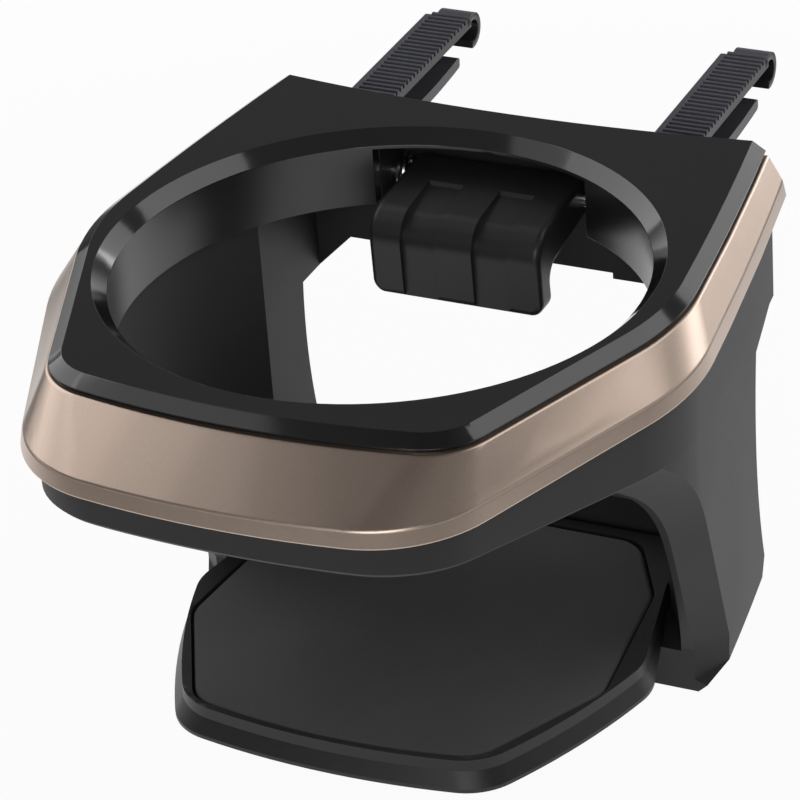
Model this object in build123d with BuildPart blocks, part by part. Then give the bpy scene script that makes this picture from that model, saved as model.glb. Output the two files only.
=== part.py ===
from build123d import *
import os
from math import cos, radians, sin, sqrt, tan

# Cup opening and ring, in millimetres. Heights count up from the foot's underside.
top_z = 72.0
collar_radius = 37.0
collar_wall = 1.6
collar_depth = 11.3
collar_clearance = 0.4
opening_chamfer = 2.0
plate_thickness = 2.0
plate_chamfer = 1.9
plate_chamfer_drop = 1.4
plate_groove = 0.45
plate_groove_height = 0.5

# Plan of the top plate's flat: margins round the opening, and its bowed edges.
ring_side = 5.3
ring_front = 5.7
ring_rear = 10.4
rear_taper = 6.5
rear_sag = 2.4
side_bow = 0.7
shoulder_back = -2.0
shoulder_radius = 35.0
corner_x = 27.9
corner_setback = 3.0
corner_radius = 8.0

# Trim band: it flares forwards from the plate's edge, then turns down in a lip.
trim_gap = 0.35
trim_wall = 2.0
trim_seat = 0.05
trim_face_height = 6.3
trim_lip_height = 2.5
trim_side_flare = 5.2
trim_tail_flare = 4.4
trim_shoulder_shift = -4.5
trim_corner_flare = 1.2
trim_corner_round = 10.0
trim_front_flare = 11.2
trim_lip_flare = 0.5
trim_tilt = 1.4

# Ring skirt and rear block of the housing.
skirt_inset = 2.2
skirt_height = 5.2
skirt_tilt = 5.2
skirt_wall = 2.4
skirt_edge = 0.8
skirt_bevel = 0.6
core_clearance = 0.25
block_drop = 24.7
window_drop = 22.7
window_half = 31.0
window_corner = 5.5
gusset_lap = 3.0
rear_wall_setback = 5.4

# Legs and base of the housing.
base_thickness = 6.5
foot_depth = 27.5
foot_front_height = 7.0
foot_bevel = 3.6
foot_grow = 1.6
leg_lean = 11.8
leg_knee_z = 32.0
leg_brow = 23.7
leg_band = 4.2
leg_shoulder = 2.8
leg_heel_setback = 5.4
leg_waist_setback = 10.8
leg_back_setback = 11.2
sill_setback = 2.6
sill_wall = 2.2
sill_height = 8.8

# Tray and its pad.
tray_length = 64.8
tray_setback = 6.5
tray_corner_x = 23.6
tray_corner_setback = 2.4
tray_side_x = 36.2
tray_side_front = 3.5
tray_side_bow = 1.4
tray_floor = 2.6
tray_edge_height = 4.4
tray_foot = 0.6
tray_flare = 1.2
tray_flare_height = 2.7
tray_draft = 0.1
tray_corner_radius = 9.0
tray_clearance = 0.4
pad_gap = 0.4
pad_thickness = 2.0
pad_edge = 0.6
pad_front_margin = 2.5
pad_corner_margin = 2.0
pad_side_margin = 4.2
pad_side_advance = 8.0
pad_hip_margin = 1.0
pad_rear_margin = 2.3
pad_cut_x = 7.0
pad_cut_y = 12.7
pad_corner_radius = 5.0

# Sprung cup arm, its pin and its spring.
arm_width = 26.4
arm_reach = 14.1
arm_drop = 7.7
arm_length = 12.5
arm_flange = 4.4
arm_root = 6.4
arm_fold_radius = 4.5
arm_lean = 0.6
arm_edge = 1.2
arm_corner = 2.2
arm_rounding = 1.0
arm_rib = 5.0
arm_channel = 5.4
arm_channel_depth = 1.1
arm_channel_step = 0.5
channel_run = 11.0
arm_side_gap = 3.2
arm_top_gap = 3.7
pin_setback = 3.2
pin_drop = 9.2
pin_radius = 1.25
pin_seat = 2.6
pin_clearance = 0.05
knuckle_radius = 3.0
spring_wire = 0.4
spring_radius = 2.2
spring_pitch = 0.9
spring_turns = 2.0
spring_toe = 6.0
spring_bite = 2.4

# Vent hooks: a ribbed belt over a fixed jaw, one pair at each side.
hook_spacing = 48.0
belt_width = 7.0
belt_thickness = 1.2
belt_rail = 0.8
belt_tooth = 0.6
belt_pitch = 1.25
belt_teeth = 26
belt_root = 9.9
belt_reach = 30.6
belt_clearance = 0.15
belt_pull = 1.5
hook_radius = 2.8
hook_inset = 1.6
hook_wall = 1.1
hook_start = 150.0
hook_wrap = 255.0
hook_rise = 0.1
jaw_gap = 2.4
jaw_thickness = 1.7
jaw_overhang = 0.5
jaw_sag = 0.5
jaw_reach = 27.0
jaw_root = 7.5
jaw_tip_lift = 0.2
jaw_clearance = 0.1

# Screws that hold the tray down on the base.
screw_radius = 1.2
screw_head_radius = 2.4
screw_head_height = 1.5
screw_recess = 2.2
screw_slot = 0.9
screw_spacing_x = 44.0
screw_spacing_y = 11.0
screw_setback = 11.5
screw_bite = 1.8
press_clearance = 0.02

# Levels and reaches that follow from the sizes above.
plate_bottom = top_z - plate_thickness
cup_bore_radius = collar_radius + collar_wall + collar_clearance
shoulder_x = collar_radius + ring_side
rear_x = shoulder_x - rear_taper
rear_y = collar_radius + ring_rear
front_y = -collar_radius - ring_front
corner_y = front_y + corner_setback
trim_top_z = plate_bottom - trim_seat
lip_top_z = trim_top_z - trim_face_height
lip_bottom_z = lip_top_z - trim_lip_height
skirt_bottom_z = lip_bottom_z - skirt_height
trim_front_y = front_y - trim_front_flare
window_top = top_z - window_drop
block_bottom = top_z - block_drop
rear_wall_y = rear_y - rear_wall_setback
leg_top_z = block_bottom - leg_shoulder
leg_heel_y = rear_y - leg_heel_setback
leg_waist_y = rear_y - leg_waist_setback
leg_back_y = rear_y - leg_back_setback
gusset_y = leg_back_y - leg_shoulder
foot_front_y = leg_heel_y - foot_depth
leg_knee_y = foot_front_y - leg_lean
leg_brow_y = leg_knee_y - leg_brow
belt_inner_y = rear_y - belt_root
belt_outer_y = rear_y + belt_reach
belt_top_z = plate_bottom - belt_clearance
belt_bottom_z = belt_top_z - belt_tooth - belt_thickness
jaw_top_z = belt_bottom_z - jaw_gap
hook_y = belt_outer_y + hook_radius - 2 * hook_wall
hook_z = belt_top_z - hook_radius + hook_rise
opening_y = -(hook_y + hook_radius + trim_front_y - trim_lip_flare) / 2
long_y = 1.25 * rear_y
tray_bottom = base_thickness
tray_rear_y = leg_heel_y - tray_setback
tray_front_y = tray_rear_y - tray_length
tray_corner_y = tray_front_y + tray_corner_setback
pad_front_y = tray_front_y + pad_front_margin
pad_corner_x = tray_corner_x - pad_corner_margin
pad_corner_y = pad_front_y + tray_corner_setback
pad_side_x = tray_side_x - pad_side_margin
pad_side_front = tray_side_front - pad_side_advance
pad_hip_x = window_half - tray_clearance - pad_hip_margin
pad_rear_y = tray_rear_y - pad_rear_margin
pad_side_rear = pad_rear_y - pad_cut_y
pad_tail_x = pad_hip_x - pad_cut_x
tray_floor_top = tray_bottom + tray_floor
pad_top = tray_floor_top + pad_thickness
tray_top = tray_bottom + tray_edge_height
plate_grow = plate_chamfer
belt_base_z = belt_top_z - belt_tooth
belt_ribs_y = belt_outer_y - belt_teeth * belt_pitch
arm_top_z = top_z - arm_drop
arm_bottom_z = arm_top_z - arm_length
arm_front_y = collar_radius - arm_reach
pin_y = collar_radius + pin_setback
pin_z = top_z - pin_drop
arm_mid_rib = arm_width - 2 * arm_rib - 2 * arm_channel
channel_end_y = arm_front_y + channel_run
channel_end_z = arm_top_z + (pin_z + knuckle_radius - arm_top_z) * channel_run / (pin_y - arm_front_y)
spring_x = -(arm_width + arm_side_gap + spring_turns * spring_pitch) / 2
spring_toe_y = pin_y - spring_toe
spring_toe_z = pin_z - spring_radius
spring_hook = -arm_width / 2 - spring_x + spring_bite
spring_heel = knuckle_radius + spring_wire - pin_clearance
jaw_bend_y = rear_y
jaw_tip_y = rear_y - rear_sag + jaw_reach
brow_z = skirt_bottom_z - (leg_brow_y - trim_front_y) * tan(radians(skirt_tilt)) + skirt_edge
pin_half = arm_width / 2 + arm_side_gap + pin_seat
jaw_width = belt_width + 2 * jaw_overhang
jaw_root_y = rear_y - rear_sag - jaw_root
screw_row_y = foot_front_y + screw_setback
screw_places = [
    (sx * screw_spacing_x / 2, screw_row_y + sy * screw_spacing_y / 2) for sx in (-1, 1) for sy in (-1, 1)
]
trim_grow = plate_grow + trim_gap
skirt_grow = trim_lip_flare - skirt_inset

SIDE = Plane((0, opening_y, 0), x_dir=(0, 1, 0), z_dir=(1, 0, 0))
FRONT = Plane((0, opening_y, 0), x_dir=(1, 0, 0), z_dir=(0, -1, 0))
COIL = Plane((spring_x, opening_y + pin_y, pin_z), x_dir=(0, 0, -1), z_dir=(1, 0, 0))


def level(height, tilt=0.0, hinge_y=0.0):
    """Plan plane at a height, tilted about a line across the ring."""
    drop = hinge_y * (1 - cos(radians(tilt)))
    lift = -hinge_y * sin(radians(tilt))
    return Plane((0, opening_y + drop, height + lift)).rotated((tilt, 0, 0))


def ring_plan(plane, flare, grow):
    """Ring outline: flare 0 follows the plate, flare 1 the trim's lower edge."""
    half = shoulder_x + flare * trim_side_flare
    waist = shoulder_back + flare * trim_shoulder_shift
    toe_x = corner_x + flare * trim_corner_flare
    toe_y = corner_y - flare * trim_front_flare
    nose_y = front_y - flare * trim_front_flare
    tail_x = rear_x + flare * trim_tail_flare
    slope = (half - tail_x) / (rear_y - waist)
    tail = tail_x - slope * (long_y - rear_y)
    mid = ((half + tail) / 2 + side_bow, (waist + long_y) / 2)
    with BuildSketch(plane) as plan:
        with BuildLine():
            ThreePointArc((tail, long_y), mid, (half, waist))
            Line((half, waist), (toe_x, toe_y))
            ThreePointArc((toe_x, toe_y), (0, nose_y), (-toe_x, toe_y))
            Line((-toe_x, toe_y), (-half, waist))
            ThreePointArc((-half, waist), (-mid[0], mid[1]), (-tail, long_y))
            Line((-tail, long_y), (tail, long_y))
        make_face()
        fillet(plan.vertices().sort_by(Axis.Y)[:2], corner_radius + flare * trim_corner_round)
        fillet(plan.vertices().group_by(Axis.Y)[-2], shoulder_radius)
        if grow:
            offset(amount=grow, kind=Kind.INTERSECTION)
    return plan.sketch


def trim_plans(grow):
    """The trim's three outlines, from the plate's edge down to the lip's lower edge."""
    return [
        ring_plan(level(trim_top_z), 0, trim_grow + grow),
        ring_plan(level(lip_top_z, trim_tilt, trim_front_y), 1, grow),
        ring_plan(level(lip_bottom_z, trim_tilt, trim_front_y), 1, trim_lip_flare + grow),
    ]


def behind_ring(reach):
    """Plan of everything behind the ring's hollow rear edge, pushed back by reach."""
    wide = 2 * rear_x
    edge = rear_y - rear_sag + reach
    with BuildSketch(level(0)) as plan:
        with BuildLine():
            ThreePointArc((-wide, edge + 4 * rear_sag), (0, edge), (wide, edge + 4 * rear_sag))
            Line((wide, edge + 4 * rear_sag), (wide, 2 * long_y))
            Line((wide, 2 * long_y), (-wide, 2 * long_y))
            Line((-wide, 2 * long_y), (-wide, edge + 4 * rear_sag))
        make_face()
    return plan.sketch


# Gloss top plate with the collar that lines the cup opening.
with BuildPart() as top_cover:
    plate_height = plate_thickness - plate_groove_height
    extrude(ring_plan(level(top_z - plate_height), 0, plate_grow), amount=plate_height)
    extrude(ring_plan(level(plate_bottom), 0, plate_grow - plate_groove), amount=plate_groove_height)
    extrude(behind_ring(0), amount=2 * top_z, mode=Mode.SUBTRACT)
    crown = top_cover.faces().sort_by(Axis.Z)[-1]
    chamfer(crown.edges().sort_by(Axis.Y)[:-1], plate_chamfer, plate_chamfer_drop, reference=crown)
    with BuildSketch(level(top_z - collar_depth)):
        Circle(collar_radius + collar_wall)
    extrude(amount=collar_depth)
    with BuildSketch(level(top_z - collar_depth)):
        Circle(collar_radius)
    extrude(amount=collar_depth, mode=Mode.SUBTRACT)
    rim = top_cover.edges().filter_by(GeomType.CIRCLE).group_by(Axis.Z)[-1]
    chamfer(rim.filter_by(lambda e: abs(e.radius - collar_radius) < 0.01), opening_chamfer)
    with BuildSketch(FRONT):
        with Locations((0, pin_z + knuckle_radius + arm_top_gap)):
            Rectangle(arm_width + 2 * arm_side_gap, 2 * collar_depth, align=(Align.CENTER, Align.MAX))
    extrude(amount=-rear_y, mode=Mode.SUBTRACT)
top_cover.part.label = "top_cover"

# Champagne band round the front and sides, open at the rear.
with BuildPart() as trim_band:
    loft(trim_plans(0), ruled=True)
    loft(trim_plans(-trim_wall), ruled=True, mode=Mode.SUBTRACT)
    extrude(behind_ring(0), amount=2 * top_z, mode=Mode.SUBTRACT)
trim_band.part.label = "trim_band"

# Leg frame: both legs and the base, cut from the ring's tapering side shape.
with BuildPart() as leg_frame:
    loft(
        [
            ring_plan(level(lip_bottom_z), 1, skirt_grow),
            ring_plan(level(0), 0, foot_grow),
        ],
        ruled=True,
    )
    with BuildSketch(SIDE) as leg_side:
        with BuildLine():
            front = Line((foot_front_y, foot_front_height), (leg_knee_y, leg_knee_z))
            brow = TangentArc(front @ 1, (leg_brow_y, brow_z), tangent=front % 1)
            Polyline(brow @ 1, (leg_brow_y, lip_bottom_z), (rear_y, lip_bottom_z), (rear_y, block_bottom))
            jog = Line((rear_y, block_bottom), (leg_back_y, leg_top_z))
            waist = (leg_waist_y, (leg_top_z + base_thickness) / 2)
            back = ThreePointArc(jog @ 1, waist, (leg_heel_y, base_thickness))
            Polyline(back @ 1, (leg_heel_y - foot_bevel, 0), (foot_front_y, 0), front @ 0)
        make_face()
    extrude(amount=2 * shoulder_x, both=True, mode=Mode.INTERSECT)
    soles = leg_frame.faces().sort_by(Axis.Z)[0].edges().filter_by(lambda e: abs(e.center().X) > rear_x)
    chamfer(soles, foot_bevel)
    band_y = opening_y + foot_front_y + leg_band
    fronts = leg_frame.edges().filter_by(lambda e: foot_bevel < e.center().Z < skirt_bottom_z)
    fronts = fronts.filter_by(lambda e: abs(e.center().X) > rear_x and e.bounding_box().max.Y < band_y)
    chamfer(fronts, leg_band)

# Hollow under the front of the ring, between its skirt and the cup bore.
with BuildPart() as skirt_hollow:
    extrude(ring_plan(level(0), 1, skirt_grow - skirt_wall), amount=lip_bottom_z - skirt_wall)
    with BuildSketch(level(0)):
        Circle(cup_bore_radius + skirt_wall)
    extrude(amount=top_z, mode=Mode.SUBTRACT)
    with BuildSketch(level(0)):
        with Locations((0, leg_brow_y)):
            Rectangle(4 * shoulder_x, 4 * long_y, align=(Align.CENTER, Align.MIN))
    extrude(amount=top_z, mode=Mode.SUBTRACT)

# Matt housing: ring skirt, rear block, legs and base in one moulding.
with BuildPart() as housing:
    extrude(
        ring_plan(level(lip_bottom_z - core_clearance, trim_tilt, trim_front_y), 1, skirt_grow),
        amount=4 * skirt_height,
        dir=(0, 0, -1),
    )
    with BuildSketch(level(skirt_bottom_z, -skirt_tilt, trim_front_y)):
        Rectangle(4 * shoulder_x, 4 * long_y)
    extrude(amount=-4 * skirt_height, mode=Mode.SUBTRACT)
    chamfer(housing.faces().sort_by(Axis.Z)[0].edges().sort_by(Axis.Y)[:-1], skirt_bevel)
    add(skirt_hollow.part, mode=Mode.SUBTRACT)
    loft(
        [
            ring_plan(level(lip_bottom_z - skirt_wall / 2), 1, trim_lip_flare - trim_wall - core_clearance),
            ring_plan(level(plate_bottom), 0, trim_grow - trim_wall - core_clearance),
        ],
        ruled=True,
    )
    add(leg_frame.part)
    with BuildSketch(FRONT.offset(-gusset_y)):
        for side in (-1, 1):
            with BuildLine():
                Polyline(
                    (side * (window_half + gusset_lap), window_top),
                    (side * (window_half - window_corner), window_top),
                    (side * (window_half + gusset_lap), window_top - window_corner - gusset_lap),
                    close=True,
                )
            make_face()
    extrude(amount=gusset_y - rear_wall_y - skirt_wall)
    with BuildSketch(level(base_thickness)):
        Circle(cup_bore_radius)
    extrude(amount=top_z, mode=Mode.SUBTRACT)
    with BuildSketch(level(base_thickness)):
        with Locations((0, rear_wall_y)):
            Rectangle(2 * window_half, rear_wall_y, align=(Align.CENTER, Align.MAX))
    extrude(amount=top_z - collar_depth - base_thickness, mode=Mode.SUBTRACT)
    with BuildSketch(FRONT):
        with BuildLine():
            Polyline(
                (-window_half, base_thickness),
                (window_half, base_thickness),
                (window_half, window_top - window_corner),
                (window_half - window_corner, window_top),
                (window_corner - window_half, window_top),
                (-window_half, window_top - window_corner),
                close=True,
            )
        make_face()
    extrude(amount=-2 * rear_y, mode=Mode.SUBTRACT)
    with BuildSketch(level(base_thickness)):
        with Locations((0, leg_heel_y - sill_setback)):
            Rectangle(2 * window_half, sill_wall, align=(Align.CENTER, Align.MAX))
    extrude(amount=sill_height)
    extrude(behind_ring(0), amount=2 * top_z, mode=Mode.SUBTRACT)
    with BuildSketch(level(window_top - window_corner)):
        with Locations((0, pin_y + knuckle_radius + spring_wire)):
            Rectangle(arm_width + 2 * arm_side_gap, pin_y, align=(Align.CENTER, Align.MAX))
    extrude(amount=top_z, mode=Mode.SUBTRACT)
    with BuildSketch(SIDE):
        with Locations((pin_y, pin_z)):
            Circle(pin_radius + press_clearance)
    extrude(amount=pin_half, both=True, mode=Mode.SUBTRACT)
    with BuildSketch(level(belt_bottom_z - belt_clearance)):
        for side in (-1, 1):
            with Locations((side * hook_spacing / 2, belt_inner_y - belt_pull - belt_clearance)):
                Rectangle(belt_width + 2 * belt_clearance, rear_y, align=(Align.CENTER, Align.MIN))
    extrude(amount=top_z, mode=Mode.SUBTRACT)
    with BuildSketch(level(jaw_top_z + jaw_clearance)):
        for side in (-1, 1):
            with Locations((side * hook_spacing / 2, jaw_root_y - jaw_clearance)):
                Rectangle(jaw_width + 2 * jaw_clearance, rear_y, align=(Align.CENTER, Align.MIN))
    extrude(amount=-jaw_thickness - 2 * jaw_clearance, mode=Mode.SUBTRACT)
    with BuildSketch(level(0)):
        with Locations(*screw_places):
            Circle(screw_radius + jaw_clearance)
    extrude(amount=base_thickness, mode=Mode.SUBTRACT)
    with BuildSketch(level(0)):
        with Locations(*screw_places):
            Circle(screw_head_radius + jaw_clearance)
    extrude(amount=screw_recess, mode=Mode.SUBTRACT)
housing.part.label = "housing"


def tray_plan(height, inset):
    """Tray outline: bowed front and flanks drawn in by inset, shoulders between the legs."""
    hip_x = window_half - tray_clearance
    hip_y = sqrt((cup_bore_radius - tray_clearance) ** 2 - hip_x**2)
    toe_x = tray_corner_x - inset * 0.7
    toe_y = tray_corner_y + inset
    flank_x = tray_side_x - inset
    with BuildSketch(level(height)) as plan:
        with BuildLine():
            ThreePointArc((toe_x, toe_y), (0, tray_front_y + inset), (-toe_x, toe_y))
            for side in (-1, 1):
                bow = (side * ((toe_x + flank_x) / 2 + tray_side_bow), (toe_y + tray_side_front) / 2)
                ThreePointArc((side * toe_x, toe_y), bow, (side * flank_x, tray_side_front))
                Line((side * flank_x, tray_side_front), (side * hip_x, hip_y))
                Line((side * hip_x, hip_y), (side * hip_x, tray_rear_y))
            Line((-hip_x, tray_rear_y), (hip_x, tray_rear_y))
        make_face()
        fillet(plan.vertices().sort_by(Axis.Y)[:4], tray_corner_radius)
    return plan.sketch


def pad_plan(height, grow):
    """Pad outline inside the tray's rim, with its rear corners cut off."""
    with BuildSketch(level(height)) as plan:
        with BuildLine():
            ThreePointArc((pad_corner_x, pad_corner_y), (0, pad_front_y), (-pad_corner_x, pad_corner_y))
            for side in (-1, 1):
                Polyline(
                    (side * pad_corner_x, pad_corner_y),
                    (side * pad_side_x, pad_side_front),
                    (side * pad_hip_x, pad_side_rear),
                    (side * pad_tail_x, pad_rear_y),
                )
            Line((-pad_tail_x, pad_rear_y), (pad_tail_x, pad_rear_y))
        make_face()
        fillet(plan.vertices(), pad_corner_radius)
        if grow:
            offset(amount=grow, kind=Kind.INTERSECTION)
    return plan.sketch


# Tray that carries the cup, screwed down on the base.
with BuildPart() as tray:
    loft(
        [
            tray_plan(tray_bottom, 0),
            tray_plan(tray_bottom + tray_foot, 0),
            tray_plan(tray_bottom + tray_flare_height, tray_flare),
            tray_plan(tray_top, tray_flare + tray_draft),
        ],
        ruled=True,
    )
    extrude(pad_plan(tray_floor_top, pad_gap), amount=tray_edge_height, mode=Mode.SUBTRACT)
    with BuildSketch(level(tray_bottom)):
        with Locations(*screw_places):
            Circle(screw_radius + press_clearance)
    extrude(amount=screw_bite + jaw_clearance, mode=Mode.SUBTRACT)
tray.part.label = "tray"

# Soft mat in the tray.
with BuildPart() as tray_pad:
    extrude(pad_plan(tray_floor_top, 0), amount=pad_thickness)
    chamfer(tray_pad.faces().sort_by(Axis.Z)[-1].edges(), pad_edge)
tray_pad.part.label = "tray_pad"

# Sprung arm that steadies the cup: a bent plate with ribs and a knuckle.
with BuildPart() as cup_arm:
    with BuildSketch(SIDE) as arm_side:
        with BuildLine():
            Polyline(
                (pin_y, pin_z + knuckle_radius),
                (arm_front_y, arm_top_z),
                (arm_front_y + arm_lean, arm_bottom_z),
                (arm_front_y + arm_lean + arm_flange, arm_bottom_z),
                (arm_front_y + arm_flange, arm_top_z - arm_root),
                (pin_y, pin_z - knuckle_radius),
                close=True,
            )
        make_face()
        fillet(arm_side.vertices().sort_by(Axis.X)[0], arm_fold_radius)
        fillet(arm_side.vertices().group_by(Axis.Y)[0], arm_edge)
        elbow = Vector(arm_front_y + arm_flange, arm_top_z - arm_root)
        fillet(arm_side.vertices().sort_by(lambda v: (v.center() - elbow).length)[0], arm_flange / 2)
        with Locations((pin_y, pin_z)):
            Circle(knuckle_radius)
    extrude(amount=arm_width / 2, both=True)
    with BuildSketch(FRONT):
        with Locations((0, arm_bottom_z)):
            RectangleRounded(arm_width, top_z, arm_corner, align=(Align.CENTER, Align.MIN))
    extrude(amount=-2 * rear_y, both=True, mode=Mode.INTERSECT)
    sides = cup_arm.faces().filter_by(Axis.X).edges()
    fillet(sides.filter_by(lambda e: e.center().Y < opening_y + channel_end_y), arm_rounding)
    for side in (-1, 1):
        with BuildSketch(SIDE.offset(side * (arm_mid_rib + arm_channel) / 2)) as channel:
            with BuildLine():
                Polyline(
                    (channel_end_y + arm_channel_step, channel_end_z),
                    (channel_end_y, channel_end_z - arm_channel_step),
                    (arm_front_y + arm_channel_depth, arm_top_z - arm_channel_depth),
                    (arm_front_y + arm_lean + arm_channel_depth, 0),
                    (0, 0),
                    (0, top_z),
                    (channel_end_y + arm_channel_step, top_z),
                    close=True,
                )
            make_face()
            floor = Vector(arm_front_y + arm_channel_depth, arm_top_z - arm_channel_depth)
            fillet(channel.vertices().sort_by(lambda v: (v.center() - floor).length)[0], arm_fold_radius)
        extrude(amount=arm_channel / 2, both=True, mode=Mode.SUBTRACT)
    with BuildSketch(SIDE):
        with Locations((pin_y, pin_z)):
            Circle(pin_radius + pin_clearance)
    extrude(amount=arm_width, both=True, mode=Mode.SUBTRACT)
    with BuildSketch(SIDE.offset(-arm_width / 2)):
        with Locations((spring_toe_y, spring_toe_z)):
            RegularPolygon(spring_wire + 2 * pin_clearance, 8)
    extrude(amount=spring_bite + pin_clearance, mode=Mode.SUBTRACT)
cup_arm.part.label = "cup_arm"

# Steel pin through the arm's knuckle, seated in the housing at both ends.
with BuildPart() as arm_pin:
    with BuildSketch(SIDE):
        with Locations((pin_y, pin_z)):
            Circle(pin_radius)
    extrude(amount=pin_half, both=True)
    chamfer(arm_pin.edges(), pin_radius / 5)
arm_pin.part.label = "arm_pin"

# Torsion spring on the pin beside the arm: one leg hooked into the arm, one against the rear wall.
with BuildPart() as arm_spring:
    with BuildLine() as coil:
        winding = Helix(spring_pitch, spring_turns * spring_pitch, spring_radius, mode=Mode.PRIVATE)
        add(COIL.location * winding)
    with BuildSketch(Plane(coil.line @ 0, z_dir=coil.line % 0)):
        RegularPolygon(spring_wire, 8)
    sweep(path=coil.line)
    with BuildSketch(Plane(coil.line @ 0, z_dir=(0, -1, 0))):
        RegularPolygon(spring_wire, 8)
    extrude(amount=spring_toe + spring_wire)
    with BuildSketch(SIDE.offset(spring_x)):
        with Locations((spring_toe_y, spring_toe_z)):
            RegularPolygon(spring_wire, 8)
    extrude(amount=spring_hook)
    with BuildSketch(Plane(coil.line @ 1, z_dir=(0, 1, 0))):
        RegularPolygon(spring_wire, 8)
    extrude(amount=spring_heel)
arm_spring.part.label = "arm_spring"

# Hook belts: ribbed strips with a rail at one side, curled into a hook at the end.
belts = []
for label, side in (("left", -1), ("right", 1)):
    with BuildPart() as belt:
        with BuildSketch(SIDE.offset(side * hook_spacing / 2 - belt_width / 2 + belt_rail)):
            with BuildLine():
                crest = [(belt_outer_y, belt_bottom_z), (belt_outer_y, belt_base_z)]
                for tooth in range(belt_teeth):
                    root_y = belt_outer_y - tooth * belt_pitch
                    crest += [(root_y - 0.2 * belt_pitch, belt_top_z), (root_y - 0.6 * belt_pitch, belt_top_z)]
                    crest += [(root_y - 0.7 * belt_pitch, belt_base_z), (root_y - belt_pitch, belt_base_z)]
                crest += [(belt_inner_y, belt_base_z), (belt_inner_y, belt_bottom_z)]
                Polyline(*crest, close=True)
            make_face()
        extrude(amount=belt_width - belt_rail)
        with BuildSketch(SIDE.offset(side * hook_spacing / 2 - belt_width / 2)):
            with BuildLine():
                Polyline(
                    (belt_inner_y, belt_bottom_z),
                    (belt_outer_y, belt_bottom_z),
                    (belt_outer_y, belt_base_z),
                    (belt_outer_y - belt_pitch, belt_top_z),
                    (belt_ribs_y, belt_top_z),
                    (belt_ribs_y - belt_pitch, belt_base_z),
                    (belt_inner_y, belt_base_z),
                    close=True,
                )
            make_face()
        extrude(amount=belt_rail)
        with BuildSketch(SIDE.offset(side * hook_spacing / 2 - belt_width / 2 + hook_inset)):
            with BuildLine():
                outside = CenterArc((hook_y, hook_z), hook_radius, hook_start, -hook_wrap)
                inside = CenterArc((hook_y, hook_z), hook_radius - hook_wall, hook_start, -hook_wrap)
                Line(outside @ 0, inside @ 0)
                Line(outside @ 1, inside @ 1)
            make_face()
        extrude(amount=belt_width - hook_inset)
    belt.part.label = f"hook_belt_{label}"
    belts.append(belt)

# Fixed jaws below the belts, rooted in the housing's rear block.
jaws = []
for label, side in (("left", -1), ("right", 1)):
    with BuildPart() as jaw:
        with BuildSketch(SIDE.offset(side * hook_spacing / 2)) as jaw_side:
            with BuildLine():
                heel = Polyline(
                    (jaw_bend_y, jaw_top_z),
                    (jaw_root_y, jaw_top_z),
                    (jaw_root_y, jaw_top_z - jaw_thickness),
                    (jaw_bend_y, jaw_top_z - jaw_thickness),
                )
                bottom = ThreePointArc(
                    heel @ 1,
                    ((jaw_bend_y + jaw_tip_y) / 2, jaw_top_z - jaw_thickness - jaw_sag),
                    (jaw_tip_y, jaw_top_z - jaw_thickness + jaw_tip_lift),
                )
                tip = Line(bottom @ 1, (jaw_tip_y, jaw_top_z + jaw_tip_lift))
                ThreePointArc(tip @ 1, ((jaw_bend_y + jaw_tip_y) / 2, jaw_top_z - jaw_sag), heel @ 0)
            make_face()
            fillet(jaw_side.vertices().group_by(Axis.X)[-1], jaw_thickness / 3)
        extrude(amount=jaw_width / 2, both=True)
    jaw.part.label = f"fin_jaw_{label}"
    jaws.append(jaw)

# Screws from below, through the base into the tray.
with BuildPart() as tray_screws:
    with BuildSketch(level(screw_recess)):
        with Locations(*screw_places):
            Circle(screw_radius)
    extrude(amount=base_thickness - screw_recess + screw_bite)
    with BuildSketch(level(screw_recess - screw_head_height)):
        with Locations(*screw_places):
            Circle(screw_head_radius)
    extrude(amount=screw_head_height)
    chamfer(tray_screws.edges().group_by(Axis.Z)[0], screw_head_height / 3)
    with BuildSketch(level(screw_recess - screw_head_height)):
        with Locations(*screw_places):
            Rectangle(screw_slot, 3 * screw_slot)
            Rectangle(3 * screw_slot, screw_slot)
    extrude(amount=screw_head_height / 2, mode=Mode.SUBTRACT)
tray_screws.part.label = "tray_screws"

os.makedirs("parts", exist_ok=True)
fixed = [top_cover, trim_band, housing, tray, tray_pad, tray_screws, *jaws]
pieces = [*fixed, cup_arm, arm_pin, arm_spring, *belts]
for piece in pieces:
    export_step(piece.part, f"parts/{piece.part.label}.step")
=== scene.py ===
import logging
import math
from dataclasses import dataclass, field
from enum import Enum

import bmesh
import bpy
from mathutils import Matrix, Vector


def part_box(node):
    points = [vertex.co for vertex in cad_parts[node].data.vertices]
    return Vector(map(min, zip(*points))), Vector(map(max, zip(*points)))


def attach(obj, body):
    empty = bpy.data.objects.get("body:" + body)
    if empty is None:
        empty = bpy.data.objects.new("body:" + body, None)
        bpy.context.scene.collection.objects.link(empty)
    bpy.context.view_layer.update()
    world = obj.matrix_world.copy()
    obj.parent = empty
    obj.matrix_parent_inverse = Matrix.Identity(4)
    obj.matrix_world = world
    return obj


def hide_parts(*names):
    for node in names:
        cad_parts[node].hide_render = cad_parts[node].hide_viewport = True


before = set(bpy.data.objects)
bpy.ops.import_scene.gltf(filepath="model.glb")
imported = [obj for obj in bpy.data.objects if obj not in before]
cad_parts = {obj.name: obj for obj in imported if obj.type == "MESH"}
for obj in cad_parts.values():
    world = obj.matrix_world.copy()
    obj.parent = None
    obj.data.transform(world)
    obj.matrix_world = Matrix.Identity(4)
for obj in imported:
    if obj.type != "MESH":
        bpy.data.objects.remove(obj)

LOG = logging.getLogger("cup_holder")
MM = 0.001
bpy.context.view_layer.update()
NOISE_MEAN = 0.5
TONE_SPAN = (0.3, 0.7)
WHITE = (1.0, 1.0, 1.0, 1.0)


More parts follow.
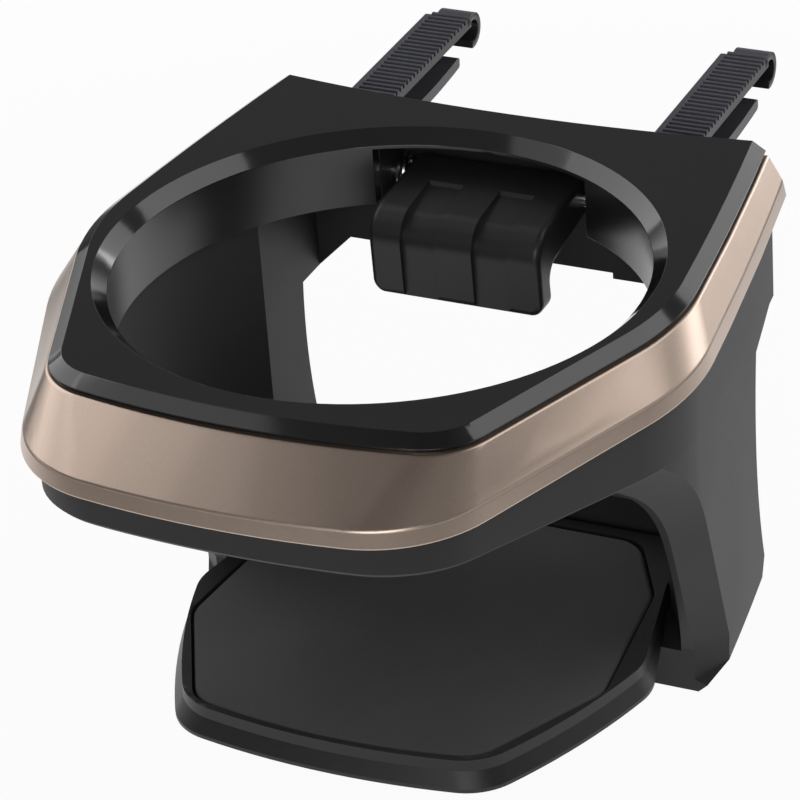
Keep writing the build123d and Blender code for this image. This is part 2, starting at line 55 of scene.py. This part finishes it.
class Grain(Enum):
    """How coarse the moulded grain of a surface is, in cells per metre."""

    POLISHED = 260.0
    SATIN = 1500.0
    SPARK = 2600.0
    MAT = 4200.0


class Field:
    """A value socket of a shader tree that takes part in Python expressions."""

    def __init__(self, shader: "Shader", socket: bpy.types.NodeSocket | None) -> None:
        """Keep the tree and the socket that carries the value."""
        self.shader = shader
        self.socket = socket

    def _math(self, operation: str, first: object, second: object) -> "Field":
        """Add one Math node.

        Args:
            operation: Blender's name of the operation.
            first: left operand, a Field or a number.
            second: right operand, a Field or a number.

        Returns:
            The result as a Field.
        """
        return self.shader.node("ShaderNodeMath", {"operation": operation}, {0: first, 1: second})

    def __add__(self, other: object) -> "Field":
        """Sum of two values."""
        return self._math("ADD", self, other)

    __radd__ = __add__

    def __sub__(self, other: object) -> "Field":
        """Difference of two values."""
        return self._math("SUBTRACT", self, other)

    def __rsub__(self, other: object) -> "Field":
        """Difference with the value on the right."""
        return self._math("SUBTRACT", other, self)

    def __mul__(self, other: object) -> "Field":
        """Product of two values."""
        return self._math("MULTIPLY", self, other)

    __rmul__ = __mul__

    def peak(self, other: object) -> "Field":
        """Larger of two values."""
        return self._math("MAXIMUM", self, other)

    def ramp(self, start: float, end: float) -> "Field":
        """Smooth step.

        Args:
            start: value that gives 0.
            end: value that gives 1.

        Returns:
            A Field from 0 to 1.
        """
        return self.shader.node(
            "ShaderNodeMapRange",
            {"interpolation_type": "SMOOTHSTEP"},
            {"Value": self, "From Min": start, "From Max": end},
            "Result",
        )


class Shader:
    """A node tree that is filled by expressions and one node method."""

    def __init__(self, tree: bpy.types.NodeTree) -> None:
        """Empty the tree and keep it."""
        self.tree = tree
        self.tree.nodes.clear()

    def node(
        self,
        kind: str,
        settings: dict[str, object] | None = None,
        sockets: dict[object, object] | None = None,
        output: object = 0,
    ) -> Field:
        """Add a node, set it up and feed its sockets.

        Args:
            kind: Blender's type name of the node.
            settings: properties set before the sockets are fed; stops go to a colour ramp.
            sockets: socket names or numbers with a Field, a number or a tuple each.
            output: name or number of the output that is handed back.

        Returns:
            The chosen output as a Field.
        """
        made = self.tree.nodes.new(kind)
        for name, value in (settings or {}).items():
            if name == "stops":
                self._stops(made.color_ramp, value)
            else:
                setattr(made, name, value)
        for name, value in (sockets or {}).items():
            if isinstance(value, Field):
                self.tree.links.new(value.socket, made.inputs[name])
            else:
                made.inputs[name].default_value = value
        return Field(self, made.outputs[output]) if made.outputs else Field(self, None)

    @staticmethod
    def _stops(ramp: bpy.types.ColorRamp, stops: list[tuple[float, tuple]]) -> None:
        """Set a ramp's stops.

        Args:
            ramp: the ramp to fill.
            stops: position and colour of each stop, in order.
        """
        while len(ramp.elements) < len(stops):
            ramp.elements.new(1.0)
        for element, (position, colour) in zip(ramp.elements, stops):
            element.position = position
            element.color = (*colour, 1.0)

    def place(self) -> Field:
        """Object coordinates of the shaded point."""
        return self.node("ShaderNodeTexCoord", output="Object")

    def height(self) -> Field:
        """Height of the shaded point, in metres."""
        return self.node("ShaderNodeSeparateXYZ", None, {"Vector": self.place()}, "Z")

    def upward(self) -> Field:
        """Rise of the ray's direction in the world's tree, 1 at the zenith."""
        ray = self.node("ShaderNodeTexCoord", output="Generated")
        return self.node("ShaderNodeSeparateXYZ", None, {"Vector": ray}, "Z")

    def reach(self) -> Field:
        """Distance of the shaded point from the origin, in metres."""
        return self.node("ShaderNodeVectorMath", {"operation": "LENGTH"}, {0: self.place()}, "Value")

    def shade(self, colour: Field, dark: float, factor: Field) -> Field:
        """Darken a colour.

        Args:
            colour: the colour where the factor is 1.
            dark: share of it that is left where the factor is 0.
            factor: where the full colour shows.

        Returns:
            The colour as a Field.
        """
        share = dark + factor * (1.0 - dark)
        return self.node(
            "ShaderNodeVectorMath", {"operation": "SCALE"}, {0: colour, "Scale": share}, "Vector"
        )

    def noise(self, scale: float, detail: float = 2.0) -> Field:
        """Noise over the piece.

        Args:
            scale: cells per metre.
            detail: octaves of finer noise.

        Returns:
            A value about NOISE_MEAN.
        """
        return self.node(
            "ShaderNodeTexNoise", None, {"Vector": self.place(), "Scale": scale, "Detail": detail}
        )

    def tint(self, factor: Field, low: tuple, high: tuple) -> Field:
        """Blend two colours.

        Args:
            factor: 0 for the first colour, 1 for the second.
            low: first colour, linear.
            high: second colour, linear.

        Returns:
            The colour as a Field.
        """
        stops = list(zip(TONE_SPAN, (low, high)))
        return self.node("ShaderNodeValToRGB", {"stops": stops}, {"Fac": factor}, "Color")

    def bump(self, height: Field, strength: float, depth: float) -> Field:
        """Turn a height into a normal.

        Args:
            height: value of the relief.
            strength: share of the relief that shows.
            depth: relief in metres.

        Returns:
            The normal as a Field.
        """
        return self.node(
            "ShaderNodeBump",
            None,
            {"Height": height, "Strength": strength, "Distance": depth},
            "Normal",
        )

    def surface(self, sockets: dict[str, object]) -> None:
        """Close the tree with a Principled surface.

        Args:
            sockets: values and Fields of the surface's sockets.
        """
        shaded = self.node("ShaderNodeBsdfPrincipled", None, sockets, "BSDF")
        self.node("ShaderNodeOutputMaterial", None, {"Surface": shaded})


@dataclass(frozen=True)
class Finish:
    """A moulded or painted surface: two near tones, its gloss and its grain.

    Painted shade darkens the colour below one pair of heights, and a wall roughens the surface below
    another;
    both hold the heights where the change starts and ends.
    """

    name: str
    low: tuple[float, float, float]
    high: tuple[float, float, float]
    rough: float
    rough_spread: float
    grain: Grain
    relief: float
    depth: float = 0.04 * MM
    metallic: float = 0.0
    specular: float = 0.5
    coat: float = 0.0
    coat_rough: float = 0.05
    cloud: float = 42.0
    cloud_share: float = 0.55
    # painted shade: heights below which the colour is darkened, and the share of the colour that is
    # left there
    groove_shade: tuple[float, float] | None = None
    groove_shade_share: float = 0.3
    wall: tuple[float, float] | None = None
    wall_rough: float = 0.2

    def material(self) -> bpy.types.Material:
        """Build the finish's node material.

        Returns:
            The material.
        """
        made = bpy.data.materials.new(self.name)
        made.use_nodes = True
        shader = Shader(made.node_tree)
        cloud = shader.noise(self.cloud)
        grain = shader.noise(self.grain.value)
        tone = cloud * self.cloud_share + grain * (1.0 - self.cloud_share)
        rough = (
            self.rough
            + (cloud - NOISE_MEAN) * self.rough_spread
            + (grain - NOISE_MEAN) * self.rough_spread
        )
        if self.wall:
            rough = rough + shader.height().ramp(*self.wall) * self.wall_rough
        colour = shader.tint(tone, self.low, self.high)
        # painted shade: darken the colour below a height, standing in for the shade that falls in
        # grooves
        if self.groove_shade:
            colour = shader.shade(colour, self.groove_shade_share, shader.height().ramp(*self.groove_shade))
        shader.surface(
            {
                "Base Color": colour,
                "Roughness": rough,
                "Metallic": self.metallic,
                "Specular IOR Level": self.specular,
                "Coat Weight": self.coat,
                "Coat Roughness": self.coat_rough,
                "Normal": shader.bump(grain, self.relief, self.depth),
            }
        )
        return made


@dataclass(frozen=True)
class Finishes:
    """All finishes of the holder."""

    cover: Finish = Finish(
        "gloss_black",
        low=(0.0095, 0.0095, 0.01),
        high=(0.0125, 0.0125, 0.013),
        rough=0.09,
        rough_spread=0.02,
        grain=Grain.POLISHED,
        relief=0.0,
        specular=0.8,
        wall=(70.1 * MM, 69.8 * MM),
        wall_rough=0.2,
    )
    trim: Finish = Finish(
        "champagne_paint",
        low=(0.53, 0.412, 0.338),
        high=(0.59, 0.466, 0.388),
        rough=0.3,
        rough_spread=0.05,
        grain=Grain.SPARK,
        relief=0.08,
        depth=0.02 * MM,
        metallic=0.92,
        coat=0.25,
        coat_rough=0.3,
    )
    housing: Finish = Finish(
        "matt_housing",
        low=(0.021, 0.021, 0.0215),
        high=(0.029, 0.029, 0.0295),
        rough=0.54,
        rough_spread=0.08,
        grain=Grain.SATIN,
        relief=0.18,
        specular=0.32,
    )
    tray: Finish = Finish(
        "satin_tray",
        low=(0.015, 0.015, 0.0155),
        high=(0.021, 0.021, 0.0215),
        rough=0.4,
        rough_spread=0.08,
        grain=Grain.SATIN,
        relief=0.16,
        specular=0.4,
    )
    mat: Finish = Finish(
        "soft_mat",
        low=(0.068, 0.068, 0.0685),
        high=(0.096, 0.096, 0.0965),
        rough=0.85,
        rough_spread=0.1,
        grain=Grain.MAT,
        relief=0.5,
        depth=0.06 * MM,
        specular=0.2,
    )
    arm: Finish = Finish(
        "satin_arm",
        low=(0.017, 0.017, 0.0175),
        high=(0.023, 0.023, 0.0235),
        rough=0.38,
        rough_spread=0.06,
        grain=Grain.SATIN,
        relief=0.12,
        specular=0.4,
    )
    belt: Finish = Finish(
        "belt_plastic",
        low=(0.075, 0.076, 0.092),
        high=(0.105, 0.106, 0.126),
        rough=0.36,
        rough_spread=0.08,
        grain=Grain.SATIN,
        relief=0.15,
        # painted shade: the belt's colour is darkened below the rib tops, in the grooves between the
        # ribs
        groove_shade=(69.2 * MM, 69.75 * MM),
        groove_shade_share=0.16,
    )
    jaw: Finish = Finish(
        "jaw_plastic",
        low=(0.03, 0.031, 0.038),
        high=(0.045, 0.046, 0.056),
        rough=0.32,
        rough_spread=0.06,
        grain=Grain.SATIN,
        relief=0.12,
    )
    steel: Finish = Finish(
        "bright_steel",
        low=(0.5, 0.5, 0.51),
        high=(0.64, 0.64, 0.65),
        rough=0.24,
        rough_spread=0.08,
        grain=Grain.SPARK,
        relief=0.1,
        metallic=1.0,
    )


FINISHES = Finishes()


def dress(node: str, material: bpy.types.Material) -> bpy.types.Object:
    """Give a CAD node its finish.

    Args:
        node: name of the CAD node.
        material: the finish.

    Returns:
        The node's object.
    """
    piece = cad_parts[node]
    piece.data.materials.clear()
    piece.data.materials.append(material)
    LOG.info("dressed %s with %s", node, material.name)
    return piece


@dataclass(frozen=True)
class Rounding:
    """How a moulded piece's sharp edges are rounded, with widths in metres and angles in degrees.

    Edges sharper than the angle are rounded. Faces that lie within flatten of each other are joined
    first, where it isn't 0.
    """

    width: float
    angle: float = 25.0
    steps: int = 2
    flatten: float = 0.0
    merge: float = 0.001 * MM
    face_weight: int = 100

    def apply(self, piece: bpy.types.Object) -> None:
        """Round a CAD node's edges by modifiers and keep its flat faces flat in shading.

        Args:
            piece: the node's object.
        """
        weld = piece.modifiers.new("weld", "WELD")
        weld.merge_threshold = self.merge
        if self.flatten:
            flat = piece.modifiers.new("flat", "DECIMATE")
            flat.decimate_type = "DISSOLVE"
            flat.angle_limit = math.radians(self.flatten)
        rounding = piece.modifiers.new("rounding", "BEVEL")
        rounding.width = self.width
        rounding.segments = self.steps
        rounding.limit_method = "ANGLE"
        rounding.angle_limit = math.radians(self.angle)
        rounding.use_clamp_overlap = True
        rounding.face_strength_mode = "FSTR_ALL"
        shading = piece.modifiers.new("shading", "WEIGHTED_NORMAL")
        shading.weight = self.face_weight
        shading.use_face_influence = True


@dataclass
class Ring:
    """Top plate, trim band and housing."""

    cover_edge: Rounding = Rounding(0.12 * MM)
    trim_edge: Rounding = Rounding(0.35 * MM, angle=11.0, steps=3, flatten=1.0)
    housing_edge: Rounding = Rounding(0.4 * MM)

    def build(self) -> None:
        """Dress the ring's pieces and round their edges."""
        self.cover_edge.apply(dress("top_cover", FINISHES.cover.material()))
        self.trim_edge.apply(dress("trim_band", FINISHES.trim.material()))
        self.housing_edge.apply(dress("housing", FINISHES.housing.material()))


@dataclass
class Tray:
    """Tray, its screws and the soft mat that lies in it.

    The corners are the mat's right half in millimetres, from the front to the rear.
    """

    edge: Rounding = Rounding(0.4 * MM)
    corners: tuple[tuple[float, float], ...] = (
        (21.6, -37.9),
        (32.0, -18.0),
        (29.6, 7.0),
        (22.6, 19.7),
    )
    corner_radius: float = 5.0 * MM
    corner_steps: int = 6
    bow: float = 2.4 * MM
    bow_steps: int = 11
    rim: float = 0.6 * MM
    rim_steps: int = 4
    crown: float = 0.25 * MM
    crown_steps: int = 12
    cut_reach: float = 0.0001 * MM
    smooth_rise: float = 0.2
    name: str = "tray_mat"

    def build(self) -> None:
        """Dress the tray and lay the mat in it."""
        self.edge.apply(dress("tray", FINISHES.tray.material()))
        dress("tray_screws", FINISHES.steel.material())
        mat = self.lay_mat()
        mat.data.materials.append(FINISHES.mat.material())
        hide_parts("tray_pad")
        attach(mat, "holder")
        LOG.info("laid %s", mat.name)

    def lay_mat(self) -> bpy.types.Object:
        """Cut the mat's outline, thicken it and crown its top.

        Returns:
            The mat's object.
        """
        low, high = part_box("tray_pad")
        shape = bmesh.new()
        self.cut_outline(shape, low.z)
        lifted = bmesh.ops.extrude_face_region(shape, geom=list(shape.faces))
        top = [part for part in lifted["geom"] if isinstance(part, bmesh.types.BMVert)]
        rise = high.z - low.z - self.crown
        bmesh.ops.translate(shape, verts=top, vec=(0.0, 0.0, rise))
        bmesh.ops.recalc_face_normals(shape, faces=list(shape.faces))
        crest = max(shape.faces, key=lambda face: face.calc_center_median().z)
        bmesh.ops.bevel(
            shape,
            geom=list(crest.edges),
            offset=self.rim,
            affect="EDGES",
            segments=self.rim_steps,
            profile=0.5,
            material=-1,
        )
        self.raise_crown(shape, low, high)
        mesh = bpy.data.meshes.new(self.name)
        shape.to_mesh(mesh)
        shape.free()
        mat = bpy.data.objects.new(self.name, mesh)
        bpy.context.scene.collection.objects.link(mat)
        return mat

    def raise_crown(self, shape: bmesh.types.BMesh, low: Vector, high: Vector) -> None:
        """Divide the mat and raise the middle of its top.

        Args:
            shape: the mat's mesh.
            low: lowest corner of the mat's room.
            high: highest corner of the mat's room.
        """
        middle, half = (low + high) / 2.0, (high - low) / 2.0
        for axis in (0, 1):
            normal = Vector((1.0 - axis, float(axis), 0.0))
            for step in range(1, self.crown_steps):
                share = step / self.crown_steps
                place = low * (1.0 - share) + high * share
                bmesh.ops.bisect_plane(
                    shape,
                    geom=list(shape.verts) + list(shape.edges) + list(shape.faces),
                    dist=self.cut_reach,
                    plane_co=place,
                    plane_no=normal,
                )
        for vert in shape.verts:
            if vert.co.z > middle.z:
                across = ((vert.co.x - middle.x) / half.x) ** 2
                along = ((vert.co.y - middle.y) / half.y) ** 2
                vert.co.z += self.crown * (1.0 - across) * (1.0 - along)
        for face in shape.faces:
            face.smooth = face.normal.z > self.smooth_rise

    def cut_outline(self, shape: bmesh.types.BMesh, level: float) -> None:
        """Draw the mat's underside with a bowed front and rounded corners.

        Args:
            shape: the mesh that the underside goes into.
            level: height of the underside, in metres.
        """
        right = [Vector((x * MM, y * MM, level)) for x, y in self.corners]
        ring = right + [Vector((-place.x, place.y, level)) for place in reversed(right)]
        sole = shape.faces.new([shape.verts.new(place) for place in ring])
        turns = [math.pi - loop.calc_angle() for loop in sole.loops]
        cut = bmesh.ops.subdivide_edges(shape, edges=[sole.edges[-1]], cuts=self.bow_steps)
        for part in cut["geom_inner"]:
            if isinstance(part, bmesh.types.BMVert):
                part.co.y -= self.bow * (1.0 - (part.co.x / right[0].x) ** 2)
        for place, turn in zip(ring, turns):
            bmesh.ops.bevel(
                shape,
                geom=[min(shape.verts, key=lambda vert, place=place: (vert.co - place).length)],
                offset=self.corner_radius * math.tan(turn / 2.0),
                affect="VERTICES",
                segments=self.corner_steps,
                profile=0.5,
                material=-1,
            )


@dataclass
class CupArm:
    """Sprung arm with its pin and spring."""

    def build(self) -> None:
        """Dress the arm's pieces."""
        steel = FINISHES.steel.material()
        dress("cup_arm", FINISHES.arm.material())
        dress("arm_pin", steel)
        dress("arm_spring", steel)


@dataclass
class VentClips:
    """Hook belts over their jaws."""

    jaw_edge: Rounding = Rounding(0.3 * MM)
    belt_edge: Rounding = Rounding(0.08 * MM, steps=1)
    sides: tuple[str, ...] = ("left", "right")

    def build(self) -> None:
        """Dress both clips."""
        belt = FINISHES.belt.material()
        jaw = FINISHES.jaw.material()
        for side in self.sides:
            self.belt_edge.apply(dress(f"hook_belt_{side}", belt))
            self.jaw_edge.apply(dress(f"fin_jaw_{side}", jaw))


@dataclass
class Lamp:
    """One soft box."""

    name: str
    place: tuple[float, float, float]
    target: tuple[float, float, float]
    size: tuple[float, float]
    power: float

    def build(self) -> bpy.types.Object:
        """Hang the soft box.

        Returns:
            The lamp's object.
        """
        data = bpy.data.lights.new(self.name, "AREA")
        data.shape = "RECTANGLE"
        data.size, data.size_y = self.size
        data.energy = self.power
        lamp = bpy.data.objects.new(self.name, data)
        lamp.location = self.place
        aim = Vector(self.target) - Vector(self.place)
        lamp.rotation_mode = "QUATERNION"
        lamp.rotation_quaternion = aim.to_track_quat("-Z", "Y")
        bpy.context.scene.collection.objects.link(lamp)
        return lamp


@dataclass
class Studio:
    """Pale floor, soft light and the camera."""

    floor_half: float = 3.0
    floor_drop: float = 0.2 * MM
    floor_share: float = 0.95
    floor_tone: tuple[float, float, float] = (0.8, 0.8, 0.8)
    room_tone: tuple[float, float, float] = (0.16, 0.16, 0.16)
    table: tuple[float, float] = (0.31, 0.17)
    world_tone: tuple[float, float, float] = (0.16, 0.16, 0.161)
    dome: tuple[float, float] = (1.0, 0.85)
    dome_share: float = 0.4
    backdrop: tuple[float, float] = (0.2, 0.02)
    azimuth: float = 0.46298
    elevation: float = 0.52996
    roll: float = -0.073236
    distance: float = 506.87 * MM
    aim: tuple[float, float, float] = (18.554 * MM, -47.395 * MM, 72.0 * MM)
    lens: float = 180.0
    lamps: list[Lamp] = field(
        default_factory=lambda: [
            Lamp("left_box", (-0.8, 0.22, 0.62), (0.0, 0.0, 0.06), (0.85, 0.85), 3.4),
            Lamp("rear_box", (0.47, 0.88, 0.18), (0.0, 0.0, 0.06), (0.6, 0.35), 1.8),
            Lamp("high_box", (0.25, 0.93, 0.44), (0.0, 0.0, 0.06), (0.4, 0.3), 0.45),
            Lamp("right_box", (0.72, 0.42, 0.74), (0.0, 0.0, 0.06), (0.8, 0.7), 2.4),
            Lamp("top_box", (-0.57, -0.27, 0.84), (0.0, 0.0, 0.06), (0.3, 0.4), 0.22),
            Lamp("front_box", (0.35, -1.2, 0.62), (0.0, 0.0, 0.03), (0.9, 0.6), 5.0),
        ]
    )

    def build(self) -> None:
        """Set up the floor, the light and the camera."""
        self.lay_floor()
        self.fill_world()
        for lamp in self.lamps:
            lamp.build()
        self.set_camera()
        bpy.context.scene.view_settings.view_transform = "Standard"

    def seen(self, shader: Shader, edge: Field) -> Field:
        """Where the white studio shows: to the camera, and up to its edge in gloss and through glass.

        Args:
            shader: the tree that asks.
            edge: 1 inside the white part and 0 outside.

        Returns:
            1 for those rays and 0 for all others.
        """
        camera = shader.node("ShaderNodeLightPath", output="Is Camera Ray")
        glossy = shader.node("ShaderNodeLightPath", output="Is Glossy Ray")
        through = shader.node("ShaderNodeLightPath", output="Is Transmission Ray")
        return camera.peak(glossy.peak(through) * edge)

    def lay_floor(self) -> None:
        """Lay the pale floor under the feet."""
        mesh = bpy.data.meshes.new("floor")
        shape = bmesh.new()
        bmesh.ops.create_grid(shape, x_segments=1, y_segments=1, size=self.floor_half)
        bmesh.ops.translate(shape, verts=shape.verts, vec=(0.0, 0.0, -self.floor_drop))
        shape.to_mesh(mesh)
        shape.free()
        floor = bpy.data.objects.new("floor", mesh)
        bpy.context.scene.collection.objects.link(floor)
        made = bpy.data.materials.new("pale_floor")
        made.use_nodes = True
        shader = Shader(made.node_tree)
        near = shader.reach().ramp(*self.table)
        tone = shader.tint(near, self.room_tone, self.floor_tone)
        diffuse = shader.node("ShaderNodeBsdfDiffuse", None, {"Color": tone})
        glow = shader.node("ShaderNodeEmission", None, {"Color": WHITE, "Strength": 1.0})
        share = self.seen(shader, near) * (1.0 - near * (1.0 - self.floor_share))
        mixed = shader.node("ShaderNodeMixShader", None, {0: share, 1: diffuse, 2: glow})
        shader.node("ShaderNodeOutputMaterial", None, {"Surface": mixed})
        mesh.materials.append(made)

    def fill_world(self) -> None:
        """Fill the studio with grey light, darker overhead, and a white backdrop."""
        world = bpy.data.worlds.new("studio")
        world.use_nodes = True
        shader = Shader(world.node_tree)
        around = shader.upward().ramp(*self.dome)
        strength = self.dome_share + around * (1.0 - self.dome_share)
        tone = (*self.world_tone, 1.0)
        room = shader.node("ShaderNodeBackground", None, {"Color": tone, "Strength": strength})
        white = shader.node("ShaderNodeBackground", None, {"Color": WHITE, "Strength": 1.0})
        share = self.seen(shader, shader.upward().ramp(*self.backdrop))
        mixed = shader.node("ShaderNodeMixShader", None, {0: share, 1: room, 2: white})
        shader.node("ShaderNodeOutputWorld", None, {"Surface": mixed})
        bpy.context.scene.world = world

    def set_camera(self) -> None:
        """Stand the camera at the photograph's angle."""
        right = Vector((math.cos(self.azimuth), math.sin(self.azimuth), 0.0))
        level = Vector((-right.y, right.x, 0.0))
        ahead = level * math.cos(self.elevation) - Vector((0.0, 0.0, math.sin(self.elevation)))
        up = right.cross(ahead)
        across = right * math.cos(self.roll) + up * math.sin(self.roll)
        upward = up * math.cos(self.roll) - right * math.sin(self.roll)
        data = bpy.data.cameras.new("camera")
        data.lens = self.lens
        camera = bpy.data.objects.new("camera", data)
        turn = Matrix((across, upward, -ahead)).transposed()
        stand = Vector(self.aim) - ahead * self.distance
        camera.matrix_world = Matrix.Translation(stand) @ turn.to_4x4()
        bpy.context.scene.collection.objects.link(camera)
        bpy.context.scene.camera = camera


def main() -> None:
    """Build every sub-assembly in order and report it."""
    logging.basicConfig(level=logging.INFO)
    for part in (Ring(), Tray(), CupArm(), VentClips(), Studio()):
        part.build()
        LOG.info("built %s", type(part).__name__)


if __name__ == "__main__":
    main()
